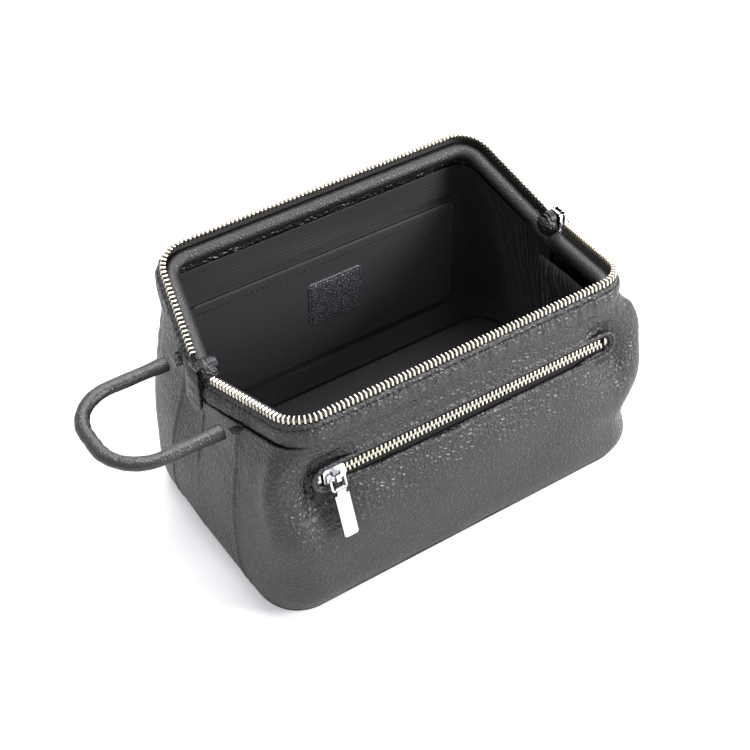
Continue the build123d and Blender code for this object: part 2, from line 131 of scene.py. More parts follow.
def ribbedTwill(name, colour="#29292d", rib=1.1, rough=0.62):
    # polyester lining twill: fine level ribs with a soft sheen
    mat, tree, shader, place = newMaterial(name, colour, rough, specular=0.35)
    ribs = addNode(tree, "ShaderNodeTexWave", {"bands_direction": "Z"},
                   {"Scale": 1000 / rib / 20 * 3.2, "Distortion": 1.2, "Detail": 1.0, "Detail Scale": 3.0},
                   {"Vector": place})
    weave = addNode(tree, "ShaderNodeTexNoise", inputs={"Scale": 1500.0, "Detail": 2.0},
                    links={"Vector": place})
    both = addNode(tree, "ShaderNodeMath", {"operation": "MULTIPLY_ADD"}, {1: 0.6},
                   {0: weave.outputs["Fac"], 2: ribs.outputs["Fac"]})
    bump = addNode(tree, "ShaderNodeBump", inputs={"Strength": 0.35, "Distance": 0.0002},
                   links={"Height": both.outputs[0]})
    tree.links.new(bump.outputs["Normal"], shader.inputs["Normal"])
    shader.inputs["Sheen Weight"].default_value = 0.25
    shader.inputs["Sheen Roughness"].default_value = 0.5
    return mat


def platedMetal(name, colour, rough):
    # plated zinc or brass: bright, with a little handling haze
    mat, tree, shader, place = newMaterial(name, colour, rough, metal=1.0)
    haze = addNode(tree, "ShaderNodeTexNoise", inputs={"Scale": 300.0, "Detail": 3.0},
                   links={"Vector": place})
    spread = addNode(tree, "ShaderNodeMapRange", inputs={"To Min": rough * 0.7, "To Max": rough * 1.5},
                     links={"Value": haze.outputs["Fac"]})
    tree.links.new(spread.outputs["Result"], shader.inputs["Roughness"])
    return mat


# each leather's crease colour, given second or left at its default, is painted shade in the grooves of its grain
leatherMat = milledLeather("milled_leather")
rollMat = milledLeather("rolled_leather", "#121214", "#070708", 2.0, 0.3, 0.42)
handleMat = milledLeather("handle_leather", "#191a1c", "#0c0c0e", 1.9, 0.28, 0.3)
patchMat = milledLeather("patch_leather", "#707077", "#242428", 1.6, 0.45, 0.3)
liningMat = ribbedTwill("lining_twill")
pocketMat = ribbedTwill("pocket_twill", "#2a2a2e", 1.3)
tapeMat = ribbedTwill("zip_tape_weave", "#141416", 0.9, 0.7)
goldMat = platedMetal("pale_nickel_teeth", "#d3ccbe", 0.26)
chromeMat = platedMetal("polished_nickel", "#dcdde0", 0.12)
steelMat = platedMetal("blackened_steel", "#3c3c3f", 0.4)
threadMat = newMaterial("bonded_thread", "#111113", 0.6)[0]
print("materials done")

# camera as fitted to the photograph, millimetres and degrees
cameraFit = {
    "azimuth": -33.6, "elevation": 43.6, "distance": 806.1, "target": (-15.2, -0.7, 71.4),
    "focalPixels": 1483.9, "framePixels": 750,
}


def placeCamera():
    a, e = math.radians(cameraFit["azimuth"]), math.radians(cameraFit["elevation"])
    back = Vector((math.sin(a) * math.cos(e), -math.cos(a) * math.cos(e), math.sin(e)))
    data = bpy.data.cameras.new("camera")
    data.sensor_width = 36.0
    data.lens = cameraFit["focalPixels"] / cameraFit["framePixels"] * data.sensor_width
    data.clip_start = 0.01
    camera = bpy.data.objects.new("camera", data)
    camera.location = (Vector(cameraFit["target"]) + back * cameraFit["distance"]) * mm
    camera.rotation_euler = back.to_track_quat("Z", "Y").to_euler()
    bpy.context.collection.objects.link(camera)
    bpy.context.scene.camera = camera


def addArea(name, place, aim, size, power, colour="#ffffff"):
    data = bpy.data.lights.new(name, "AREA")
    data.shape = "RECTANGLE"
    data.size, data.size_y = size
    data.energy = power
    data.color = linear(colour)[:3]
    light = bpy.data.objects.new(name, data)
    light.location = place
    light.rotation_euler = (Vector(place) - Vector(aim)).to_track_quat("Z", "Y").to_euler()
    bpy.context.collection.objects.link(light)


def placeStage():
    # white sweep, soft overhead box and a large front light
    bpy.context.scene.view_settings.view_transform = "Standard"
    world = bpy.data.worlds.new("studio")
    bpy.context.scene.world = world
    world.use_nodes = True
    tree = world.node_tree
    backdrop = tree.nodes["Background"]
    backdrop.inputs["Color"].default_value = (1, 1, 1, 1)
    path = addNode(tree, "ShaderNodeLightPath")
    seen = addNode(tree, "ShaderNodeMath", {"operation": "MAXIMUM"},
                   links={0: path.outputs["Is Camera Ray"], 1: path.outputs["Is Glossy Ray"]})
    seen = addNode(tree, "ShaderNodeMath", {"operation": "MAXIMUM"},
                   links={0: seen.outputs[0], 1: path.outputs["Is Transmission Ray"]})
    level = addNode(tree, "ShaderNodeMapRange", inputs={"To Min": 0.27, "To Max": 1.0},
                    links={"Value": seen.outputs[0]})
    tree.links.new(level.outputs["Result"], backdrop.inputs["Strength"])
    addArea("top_box", (0.15, 0.2, 1.3), (0, 0, 0.05), (1.0, 0.7), 19)
    addArea("front_box", (0.95, -1.0, 0.75), (0, 0, 0.06), (0.7, 0.5), 27)
    addArea("rim_box", (0.6, 0.9, 0.8), (0, 0, 0.1), (0.9, 0.4), 8)
    mesh = bpy.data.meshes.new("floor")
    mesh.from_pydata([(-4, -4, 0), (4, -4, 0), (4, 4, 0), (-4, 4, 0)], [], [(0, 1, 2, 3)])
    floor = bpy.data.objects.new("floor", mesh)
    mat, tree, shader, _ = newMaterial("white_sweep", "#f4f5f7", 0.9, specular=0.0)
    glow = addNode(tree, "ShaderNodeEmission", inputs={"Color": (0.96, 0.975, 1, 1)})
    mix = addNode(tree, "ShaderNodeAddShader", links={0: shader.outputs[0], 1: glow.outputs[0]})
    path = addNode(tree, "ShaderNodeLightPath")
    strength = addNode(tree, "ShaderNodeMapRange", inputs={"To Min": 0.16, "To Max": 0.42},
                       links={"Value": path.outputs["Is Camera Ray"]})
    tree.links.new(strength.outputs["Result"], glow.inputs["Strength"])
    tree.links.new(mix.outputs[0], tree.nodes["Material Output"].inputs["Surface"])
    mesh.materials.append(mat)
    bpy.context.collection.objects.link(floor)


placeCamera()
placeStage()


def newMesh(name, verts, faces, mat, smooth=True):
    # mesh object at the origin from millimetre points
    mesh = bpy.data.meshes.new(name)
    mesh.from_pydata((np.asarray(verts) * mm).tolist(), [], [tuple(int(i) for i in f) for f in faces])
    mesh.materials.append(mat)
    mesh.validate()
    if smooth:
        mesh.polygons.foreach_set("use_smooth", [True] * len(mesh.polygons))
    obj = bpy.data.objects.new(name, mesh)
    bpy.context.collection.objects.link(obj)
    return obj


def dressNode(node, mat):
    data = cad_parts[node].data
    data.materials.clear()
    data.materials.append(mat)


def gridFaces(rows, cols, closed=False):
    # quads of a rows by cols grid of points, joined round the columns if closed
    i, j = np.meshgrid(np.arange(rows - 1), np.arange(cols if closed else cols - 1), indexing="ij")
    k = (j + 1) % cols
    return np.stack([i * cols + j, i * cols + k, (i + 1) * cols + k, (i + 1) * cols + j], -1).reshape(-1, 4)


def endCaps(rows, ring):
    # the two end faces of a closed grid of rows rings
    return [tuple(range(ring)), tuple((rows - 1) * ring + i for i in reversed(range(ring)))]


def smoothNoise(points, scale, seed, octaves=3):
    # sum of sine waves in random directions, about -1 to 1, for folds and dents
    local = np.random.default_rng(seed)
    total = np.zeros(points.shape[:-1])
    weight = 0
    for octave in range(octaves):
        for _ in range(5):
            way = local.normal(size=3)
            way /= np.linalg.norm(way)
            amount = 0.55 ** octave
            waves = (points @ way) * (2 * math.pi / scale) * 1.9 ** octave
            total += amount * np.sin(waves + local.uniform(0, 6.28))
            weight += amount
    return total / weight * 2.2


def bump(x, middle, width):
    # gaussian bell
    return np.exp(-((x - middle) / width) ** 2)


# wall outline by height: corner half length, end half length, front y, back y, corner radius
def topEdge(turn):
    # how far from the hinge line the wall meets the rim band, for a frame half opened by turn
    return rim["reach"] * math.sin(turn) + rim["bandWidth"] * math.cos(turn)


frontTopY = rim["hingeY"] - topEdge(rim["frontOpen"])
backTopY = rim["hingeY"] + topEdge(rim["backOpen"])


def seamHeight(side, y, out=None):
    # height of the frame half's plane, out mm to its outer side, at y
    turn = rim["frontOpen"] if side < 0 else rim["backOpen"]
    out = rim["bandWidth"] if out is None else out
    y0 = rim["hingeY"] + side * out * math.cos(turn)
    z0 = rim["hingeZ"] - out * math.sin(turn)
    return z0 + side * (y - y0) / math.tan(turn)


hl, hd, hy, foot = bag["halfLength"], bag["halfDepth"], rim["hingeY"], bag["footInset"]
frontTopZ, backTopZ = seamHeight(-1, frontTopY), seamHeight(1, backTopY)
levels = np.array([
    (0, hl - foot, hl - foot + 1, foot - hd, hd - foot, bag["corner"] - 4),
    (bag["footRise"], hl - 2, hl - 0.5, 2 - hd, hd - 2, bag["corner"] - 2),
    (15, hl, hl + 2, -hd - 2, hd + 1, bag["corner"]),
    (bag["bellyHeight"], hl, hl + bag["endSwell"], -hd - bag["bellySwell"], hd + 2, bag["corner"]),
    (bag["shoulder"], hl - 4, hl + 1, -hd - 0.8, hd + 2, bag["corner"] - 6),
    (bag["windowZ"], hl - 9, rim["footHalf"] + 4, frontTopY - 3, hd + 2.5, bag["wallCorner"]),
    (frontTopZ, rim["barHalf"] + 3.5, rim["footHalf"] + 2.5, frontTopY, backTopY - 1, bag["wallCorner"]),
    (backTopZ + 8, rim["barHalf"] + 3, rim["footHalf"] + 2, frontTopY, backTopY + 1, bag["wallCorner"]),
])


def levelAt(z):
    # outline sizes at heights z, by a smooth curve through the levels
    z = np.asarray(z, float)
    k = np.clip(np.searchsorted(levels[:, 0], z, side="right") - 1, 0, len(levels) - 2)
    slopes = np.gradient(levels[:, 1:], levels[:, 0], axis=0)
    z0, z1 = levels[k, 0], levels[k + 1, 0]
    h = (z1 - z0)[..., None]
    t = np.clip((z - z0) / (z1 - z0), 0, 1)[..., None]
    start = (2 * t ** 3 - 3 * t ** 2 + 1) * levels[k, 1:] + (t ** 3 - 2 * t ** 2 + t) * h * slopes[k]
    return start + (3 * t ** 2 - 2 * t ** 3) * levels[k + 1, 1:] + (t ** 3 - t ** 2) * h * slopes[k + 1]


def halfOutline(side, s, z, inset):
    # point of one half outline at s, from 0 at the left hinge to 1 at the right one, and height z, drawn in by
    # inset: s 0 to 0.2 is the left end, 0.2 to 0.3 its corner arc, 0.3 to 0.7 the long side, then the same again
    sizes = levelAt(z)
    cx, ex, radius = sizes[..., 0] - inset, sizes[..., 1] - inset, sizes[..., 4] - min(inset, 8)
    far = (-sizes[..., 2] if side < 0 else sizes[..., 3]) - inset
    yc = far - side * hy
    lean = np.arctan2(ex - cx, yc)
    turn = math.pi / 2 - lean
    tangent = radius * np.tan(turn / 2)
    mirror = np.where(s > 0.5, 1.0, -1.0)
    q = np.where(s > 0.5, 1 - s, s)
    arcStartX = cx + tangent * np.sin(lean)
    arcStartY = yc - tangent * np.cos(lean)
    f = np.clip(q / 0.2, 0, 1)
    x1 = ex + (arcStartX - ex) * f
    y1 = arcStartY * f
    g = np.clip((q - 0.2) / 0.1, 0, 1)
    centreX = cx - tangent
    centreY = yc - radius
    angle = lean + g * turn
    x2 = centreX + radius * np.cos(angle)
    y2 = centreY + radius * np.sin(angle)
    w = np.clip((q - 0.3) / 0.2, 0, 1)
    x3 = centreX * (1 - w)
    y3 = yc
    x = np.where(q < 0.2, x1, np.where(q < 0.3, x2, x3))
    y = np.where(q < 0.2, y1, np.where(q < 0.3, y2, y3))
    return mirror * x, hy + side * y


def wallGrid(side, rows, cols, inset, floorZ, topDrop):
    # points of one half wall from floorZ up to the rim's seam less topDrop
    s = np.linspace(0, 1, cols)[None, :] * np.ones((rows, 1))
    t = np.linspace(0, 1, rows)[:, None] * np.ones((1, cols))
    t = t ** 0.9
    z = floorZ + t * (110 - floorZ)
    for _ in range(5):
        x, y = halfOutline(side, s, z, inset)
        z = floorZ + t * (seamHeight(side, y) - topDrop - floorZ)
    x, y = halfOutline(side, s, z, inset)
    return np.stack([x, y, z], -1), s, t


def gridNormals(p):
    du = np.gradient(p, axis=1)
    dv = np.gradient(p, axis=0)
    n = np.cross(du, dv)
    n /= np.linalg.norm(n, axis=-1, keepdims=True) + 1e-9
    away = p - np.array([0, hy, 60])
    flip = np.sign(np.sum(n * away * [1, 1, 0], -1, keepdims=True))
    return n * flip


def wallFolds(p, s, t, side, strength=1.0):
    # sag under the rim, corner folds and soft dents of the leather, in mm along the wall's normal
    x, z = p[..., 0], p[..., 2]
    free = np.clip(np.minimum(t / 0.15, (1 - t) / 0.1), 0, 1)
    fold = 0.9 * smoothNoise(p, 70, 3 + side, 2)
    fold += 0.22 * smoothNoise(p * [0.5, 0.5, 1.6], 13, 9 + side, 2) * bump(t, 0.78, 0.2)
    if side < 0:
        for centre in (0.225, 0.775):
            fold += 6.0 * bump(s, centre, 0.028) * bump(t, 0.8, 0.2)
            fold += 2.2 * bump(s, centre + 0.01, 0.04) * bump(t, 0.5, 0.12)
        for centre in (0.315, 0.7):
            fold -= 7.5 * bump(s, centre, 0.036) * bump(t, 0.72, 0.2)
        fold -= 1.3 * bump(t, 0.965, 0.025) * (np.abs(x) < 98)
        fold -= 7.0 * bump(s, 0.76, 0.06) * bump(t, 0.27, 0.13)
        crease = np.sin(z * 1.25 + 3 * np.sin(x * 0.12))
        fold += 0.35 * crease * bump(s, 0.3, 0.035) * bump(t, 0.72, 0.2)
        fold += 1.3 * bump(z, 70, 16) * bump(x, 10, 90)
    else:
        fold -= 2.5 * bump(s, 0.22, 0.03) * bump(t, 0.8, 0.25) + 2.0 * bump(s, 0.78, 0.03) * bump(t, 0.8, 0.2)
    # the end gussets fall inward under the hinge
    sink = np.minimum(s, 1 - s)
    fold -= 3.4 * bump(sink, 0.0, 0.07) * bump(t, 0.72, 0.3)
    return fold * free * strength


def leatherHalf(side, name, nodes):
    # one half of the leather wall with its seam, window and the turned-under foot
    rows, cols = (150, 420) if side < 0 else (110, 300)
    p, s, t = wallGrid(side, rows, cols, 0.0, 0.0, 0.0)
    n = gridNormals(p)
    sink = np.minimum(s, 1 - s)
    seamY = 38 - 12 * np.clip(p[..., 2] / 105, 0, 1)
    fold = wallFolds(p, s, t, side)
    onEnd = sink < 0.22
    gap = np.abs(np.abs(p[..., 1]) - seamY)
    fold -= onEnd * 0.9 * bump(gap, 0, 0.9)
    fold += onEnd * 0.35 * bump(gap, 2.2, 1.2)
    fold -= 0.8 * bump(p[..., 2], 3.2, 0.9)
    if side < 0:
        away = windowDistance(p)
        fold += 1.0 * bump(away, 2.2, 1.5) * (away > -0.5)
        fold = np.where(away < 0.6, 0.15 * (away + 0.6), fold)
    q = p + n * fold[..., None]
    q[..., 2] = np.maximum(q[..., 2], 0.0)
    faces = gridFaces(rows, cols)
    if side < 0:
        inside = (windowDistance(p) < 0.0).reshape(-1)
        faces = faces[~inside[faces].all(axis=1)]
    base = q.reshape(-1, 3)
    obj = newMesh(name, base, faces, leatherMat)
    solid = obj.modifiers.new("thickness", "SOLIDIFY")
    solid.thickness = bag["leather"] * mm
    solid.offset = -1 if facingOut(obj) else 1
    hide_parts(*nodes)
    return obj


def facingOut(obj):
    # true where the mesh's faces look away from the bag's middle
    poly = obj.data.polygons[len(obj.data.polygons) // 2]
    return poly.normal.dot(poly.center - Vector((0, hy * mm, 0.06))) > 0


def windowDistance(p):
    # distance in the wall from the rounded window slot's edge, negative inside it
    reach = bag["windowLength"] / 2 - bag["windowHeight"] / 2
    dx = np.maximum(np.abs(p[..., 0]) - reach, 0)
    dz = (p[..., 2] - bag["windowZ"]) / math.cos(0.18)
    far = p[..., 1] > 0
    return np.hypot(dx, dz) - bag["windowHeight"] / 2 + far * 1000


frontWall = leatherHalf(-1, "leather_front", ["front_panel"])
backWall = leatherHalf(1, "leather_back", ["back_panel", "left_gusset", "right_gusset"])
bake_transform(frontWall)
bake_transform(backWall)
dressNode("base_panel", leatherMat)
print("walls done")


def rimPath(count):
    # the frame's U in its closed plane: foot, corner arc, bar, corner arc, foot
    # gives the distance run, x, the height above the hinge line, and the outward direction
    a = np.array([rim["footHalf"], rim["footRise"]])
    b = np.array([rim["barHalf"], rim["reach"]])
    leg = (a - b) / np.linalg.norm(a - b)
    between = math.acos(np.clip(leg @ np.array([-1.0, 0.0]), -1, 1))
    cut = rim["corner"] / math.tan(between / 2)
    arcFrom = b + leg * cut
    legLength = np.linalg.norm(a - arcFrom)
    sweep = math.pi - between
    arcLength = rim["corner"] * sweep
    barHalf = b[0] - cut
    total = 2 * (legLength + arcLength + barHalf)
    d = np.linspace(0, total, count) if np.isscalar(count) else np.asarray(count)
    mirror = np.where(d > total / 2, 1.0, -1.0)
    q = np.minimum(d, total - d)
    up = -leg
    out0 = np.array([up[1], -up[0]])
    if out0[0] < 0:
        out0 = -out0
    phase = np.clip((q - legLength) / arcLength, 0, 1) * sweep
    startAngle = math.atan2(out0[1], out0[0])
    outX, outY = np.cos(startAngle + phase), np.sin(startAngle + phase)
    centre = arcFrom - rim["corner"] * out0
    x = np.where(q < legLength, a[0] + up[0] * q, centre[0] + rim["corner"] * outX)
    v = np.where(q < legLength, a[1] + up[1] * q, centre[1] + rim["corner"] * outY)
    beyond = q > legLength + arcLength
    x = np.where(beyond, barHalf - (q - legLength - arcLength), x)
    v = np.where(beyond, rim["reach"], v)
    outX = np.where(beyond, 0, outX)
    outY = np.where(beyond, 1, outY)
    return d, total, mirror * x, v, mirror * outX, outY


def rimPoints(side, x, v, w):
    # row frame points of a frame half from its closed-plane x, height v above the hinge and outward offset w
    turn = rim["frontOpen"] if side < 0 else rim["backOpen"]
    y = hy + side * (v * math.sin(turn) + w * math.cos(turn))
    z = rim["hingeZ"] + v * math.cos(turn) - w * math.sin(turn)
    return np.stack([x + 0 * y, y, z], -1)


def bandProfile(count):
    # rim band section as (outward from the path, across the rim): up from the tape, round, down to the seam
    w = np.linspace(0, 1, count)
    over, past = 0.6, 0.3  # mm by which the band laps the tape and the wall
    across = rim["bandStart"] - over + (rim["bandWidth"] + over + past - rim["bandStart"]) * w
    crown = 0.9 + 2.1 * np.sin(np.pi * np.clip(w, 0, 1)) ** 0.55
    return crown, across


def makeBand(side, name, body, nodes):
    # padded leather band on the rim: a soft crown, a stitched edge by the tape and gathers at the feet
    steps, ring = 760, 22
    d, total, x, v, ox, ov = rimPath(steps)
    crown, across = bandProfile(ring)
    toEnd = np.minimum(d, total - d)
    gather = np.exp(-(toEnd / 26) ** 2)
    ripple = 0.75 * np.sin(d * 1.9 + 1.3 * np.sin(d * 0.5)) * gather
    ripple = ripple + 0.22 * np.sin(d * 0.55 + side) + 0.12 * np.sin(d * 1.3)
    weight = np.sin(np.linspace(0, np.pi, ring)) ** 0.8
    lift = crown[None, :] + ripple[:, None] * weight[None, :]
    lift -= 0.5 * bump(across, 7.2, 0.55)[None, :]
    px = x[:, None] + ox[:, None] * lift
    pv = v[:, None] + ov[:, None] * lift
    pw = across[None, :] + 0 * px
    outerSkin = rimPoints(side, px, pv, pw)
    under = 0.35  # mm between the band's inner skin and the rim line
    backX = x[:, None] + ox[:, None] * under + 0 * pw
    backV = v[:, None] + ov[:, None] * under + 0 * pw
    back = rimPoints(side, backX, backV, pw)[:, ::-1]
    grid = np.concatenate([outerSkin, back], 1)
    faces = gridFaces(steps, 2 * ring, closed=True)
    caps = endCaps(steps, 2 * ring)
    obj = newMesh(name, grid.reshape(-1, 3), list(map(tuple, faces)) + caps, leatherMat)
    fixNormals(obj)
    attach(obj, body)
    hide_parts(*nodes)


def fixNormals(obj):
    # makes a closed mesh's faces look outward
    work = bmesh.new()
    work.from_mesh(obj.data)
    bmesh.ops.recalc_face_normals(work, faces=work.faces)
    work.to_mesh(obj.data)
    work.free()


def toothShape():
    # one tooth as points (along the zip, across it, thickness): waisted plates with a rounded head
    outline = [(-0.62, 0.0), (-0.62, 2.1), (-0.5, 2.9), (-0.28, 3.35),
               (0.28, 3.35), (0.5, 2.9), (0.62, 2.1), (0.62, 0.0)]
    verts = [(a, b, h) for h in (-1.25, 1.25) for a, b in outline]
    top = [(a * 0.75, 0.3 + b * 0.86, h) for h in (-1.5, 1.5) for a, b in outline]
    n = len(outline)
    rings = [top[:n], verts[:n], verts[n:], top[n:]]
    points = np.array([q for ring in rings for q in ring])
    faces = [(r * n + i, r * n + (i + 1) % n, (r + 1) * n + (i + 1) % n, (r + 1) * n + i)
             for r in range(3) for i in range(n)]
    faces += [tuple(range(n))[::-1], tuple(3 * n + i for i in range(n))]
    return points, faces


def placeTeeth(name, centres, alongs, acrosses, body, nodes, mat):
    # one mesh of teeth: each stands at its centre, its head pointing against acrosses
    shape, faces = toothShape()
    ups = np.cross(alongs, acrosses)
    jitter = rng.normal(0, 0.015, (len(centres), 1, 3))
    local = centres[:, None] + jitter + shape[None, :, :1] * alongs[:, None]
    local = local - shape[None, :, 1:2] * acrosses[:, None] + shape[None, :, 2:] * ups[:, None]
    allFaces = [tuple(k + i * len(shape) for k in f) for i in range(len(centres)) for f in faces]
    obj = newMesh(name, local.reshape(-1, 3), allFaces, mat, smooth=False)
    fixNormals(obj)
    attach(obj, body)
    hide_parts(*nodes)


def makeMouthTeeth(side, word):
    total = rimPath(10)[1]
    start = 4.5  # mm from the hinge to the first tooth
    spare = total - 2 * start - rim["pitch"] * math.floor((total - 2 * start) / rim["pitch"])
    d = np.arange(start, total - start, rim["pitch"]) + 0.5 * spare
    d, total, x, v, ox, ov = rimPath(d)
    foot = rimPoints(side, x, v, 3.75)
    d2, _, x2, v2, _, _ = rimPath(d + 0.01)
    alongs = rimPoints(side, x2, v2, 3.75) - foot
    alongs /= np.linalg.norm(alongs, axis=1, keepdims=True)
    acrosses = rimPoints(side, x, v, 4.75) - foot
    placeTeeth(f"{word}_mouth_teeth_shaped", foot, alongs, acrosses, f"{word}_frame",
               [f"{word}_mouth_teeth"], goldMat)


for side, word in ((-1, "front"), (1, "back")):
    makeBand(side, f"{word}_band", f"{word}_frame", [f"{word}_rim_band"])
    makeMouthTeeth(side, word)
    dressNode(f"{word}_frame_casing", rollMat)
    dressNode(f"{word}_mouth_tape", tapeMat)
print("rim done")


def liningHalf(side, name, nodes):
    # cloth lining of one half, gathered at the ends, hung from the rolled rim
    rows, cols = 110, 420
    inset = 3.4 if side > 0 else 10.4
    p, s, t = wallGrid(side, rows, cols, inset, 5.6, 6.0)
    n = gridNormals(p)
    sink = np.minimum(s, 1 - s)
    ends = np.clip(1 - sink / 0.3, 0, 1)
    wave = np.sin(s * 330 + 2.2 * np.sin(t * 5 + s * 40)) * 1.1 + 0.8 * np.sin(s * 190 + 3 * t)
    fold = -np.abs(wave) * ends * np.clip(t * 1.4, 0, 1) * np.clip((1 - t) / 0.04, 0.3, 1)
    slack = smoothNoise(p, 60, 21 + side, 2)
    fold -= 1.2 + 1.0 * slack * np.clip((1 - t) / 0.1, 0, 1) * np.clip(t / 0.1, 0, 1)
    fold = np.minimum(fold, 0.6)
    if side > 0:
        behind = (np.abs(p[..., 0]) < 92) & (p[..., 2] > 22) & (p[..., 2] < 104)
        fold = np.where(behind, np.minimum(fold, -0.2) * 0.15, fold)
    q = p + n * fold[..., None]
    obj = newMesh(name, q.reshape(-1, 3), gridFaces(rows, cols), liningMat)
    solid = obj.modifiers.new("thickness", "SOLIDIFY")
    solid.thickness = 0.4 * mm
    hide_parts(*nodes)
    return obj


frontLining = liningHalf(-1, "lining_front_cloth", ["lining_front"])
backLining = liningHalf(1, "lining_back_cloth", ["lining_back", "lining_left", "lining_right"])
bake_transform(frontLining)
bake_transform(backLining)
for node, mat in (("lining_base", liningMat), ("pocket_pouch", liningMat), ("pocket_tape_upper", tapeMat),
                  ("pocket_tape_lower", tapeMat), ("mouth_tape_end", tapeMat), ("handle_stubs", handleMat)):
    dressNode(node, mat)
print("lining done")


def roundedPlate(name, centre, size, corner, thick, mat, dome=0.0, crease=0.0, cells=60):
    # rounded rectangle standing in the XZ plane facing -Y, with a domed face and a pressed line inside its edge
    u, h = np.meshgrid(np.linspace(-1, 1, cells * 2), np.linspace(-1, 1, cells), indexing="xy")
    x, z = u * size[0] / 2, h * size[1] / 2
    edge = np.minimum(size[0] / 2 - np.abs(x), size[1] / 2 - np.abs(z))
    qx, qz = np.abs(x) - (size[0] / 2 - corner), np.abs(z) - (size[1] / 2 - corner)
    inCorner = (qx > 0) & (qz > 0)
    reach = np.hypot(qx, qz)
    pull = np.where(inCorner & (reach > 0), np.maximum(qx, qz) / np.maximum(reach, 1e-6), 1)
    x = np.where(inCorner, np.sign(x) * (size[0] / 2 - corner + qx * pull), x)
    z = np.where(inCorner, np.sign(z) * (size[1] / 2 - corner + qz * pull), z)
    fromCentre = np.hypot(np.abs(x) - (size[0] / 2 - corner), np.abs(z) - (size[1] / 2 - corner))
    edge = np.where(inCorner, corner - fromCentre, edge)
    lift = thick * np.clip(edge / 0.8, 0, 1) ** 0.5
    lift = lift + dome * np.clip(1 - u ** 2, 0, 1) * np.clip(1 - h ** 2, 0, 1)
    lift -= crease * bump(edge, 1.9, 0.4)
    p = np.stack([centre[0] + x, centre[1] - lift, centre[2] + z], -1)
    return newMesh(name, p.reshape(-1, 3), gridFaces(cells, cells * 2), mat)


slip = roundedPlate("slip_pocket_cloth", (0, 71.9, 63.5), (176, 75), 5, 0.9, pocketMat, dome=1.2, cells=90)
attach(slip, "bag")
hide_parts("slip_pocket")
patch = roundedPlate("patch_pressed", (4, 70.7, 69), (37, 31), 3.2, 1.2, patchMat,
                     dome=0.8, crease=0.28, cells=80)
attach(patch, "bag")
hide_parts("leather_patch")


def tubeAlong(points, radius, ring, name, mat, squash=1.0):
    # round tube through points, each ring square to the path, flattened in z by squash
    p = np.asarray(points, float)
    tangents = np.gradient(p, axis=0)
    tangents /= np.linalg.norm(tangents, axis=1, keepdims=True) + 1e-12
    up = np.array([0, 0, 1.0])
    sideways = np.cross(tangents, up)
    sideways /= np.linalg.norm(sideways, axis=1, keepdims=True) + 1e-12
    upright = np.cross(sideways, tangents)
    angle = np.linspace(0, 2 * math.pi, ring, endpoint=False)
    radius = np.broadcast_to(radius, (len(p),))[:, None]
    grid = p[:, None] + radius[..., None] * (np.cos(angle)[None, :, None] * sideways[:, None]
                                             + squash * np.sin(angle)[None, :, None] * upright[:, None])
    faces = list(map(tuple, gridFaces(len(p), ring, closed=True))) + endCaps(len(p), ring)
    obj = newMesh(name, grid.reshape(-1, 3), faces, mat)
    fixNormals(obj)
    return obj


def handleRoute(count):
    # centre line of the handle: leg, arc, far run, arc, leg, in one level plane
    k = handleSize
    farX, c, half = k["rootX"] - k["reach"], k["corner"], k["half"]
    leg, arc, run = k["reach"] - c, c * math.pi / 2, 2 * (half - c)
    total = 2 * leg + 2 * arc + run
    d = np.linspace(0, total, count)
    q = np.minimum(d, total - d)
    mirror = np.where(d > total / 2, 1.0, -1.0)
    phase = np.clip((q - leg) / c, 0, math.pi / 2)
    x = np.where(q < leg, k["rootX"] - q, farX + c - c * np.sin(phase))
    y = np.where(q < leg, half, half - c + c * np.cos(phase))
    y = np.where(q > leg + arc, half - c - (q - leg - arc), y)
    return d, total, np.stack([x, k["y"] + mirror * y, np.full_like(x, k["z"])], -1)


d, total, route = handleRoute(260)
bulge = handleSize["thick"] + 0.09 * np.sin(d * 0.9) * np.exp(-(np.abs(d - total / 2) / 30) ** 2)
bulge += 0.08 * np.sin(d * 0.31)
bulge += 0.5 * np.exp(-(d / 9) ** 2) + 0.5 * np.exp(-((total - d) / 9) ** 2)
handleObj = tubeAlong(route, bulge, 36, "handle_rolled", handleMat, squash=0.86)
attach(handleObj, "handle")
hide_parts("handle", "handle_core")
print("handle done")

# pocket zip: lean of the wall at the window and the chain's plane
lean = math.atan2(levels[6][3] - levels[4][3], levels[6][0] - levels[4][0])
windowNormal = np.array([0, -math.cos(lean), math.sin(lean)])
windowUp = np.array([0, math.sin(lean), math.cos(lean)])
windowMiddle = np.array([0, levels[5][3], bag["windowZ"]]) - windowNormal * 3.0


def makePocketTeeth():
    count = 69
    xs = (np.arange(count) - (count - 1) / 2) * rim["pitch"]
    for word, way, shift in (("upper", 1, -0.25), ("lower", -1, 0.25)):
        fromMiddle = 2.75  # mm from the zip's middle to a tooth's foot
        centres = windowMiddle + (xs[:, None] + shift * rim["pitch"]) * np.array([1.0, 0, 0])
        centres = centres + way * fromMiddle * windowUp
        alongs = np.tile([1.0, 0, 0], (count, 1))
        acrosses = np.tile(way * windowUp, (count, 1))
        placeTeeth(f"pocket_teeth_{word}_shaped", centres, alongs, acrosses, "bag",
                   [f"pocket_teeth_{word}"], goldMat)


makePocketTeeth()


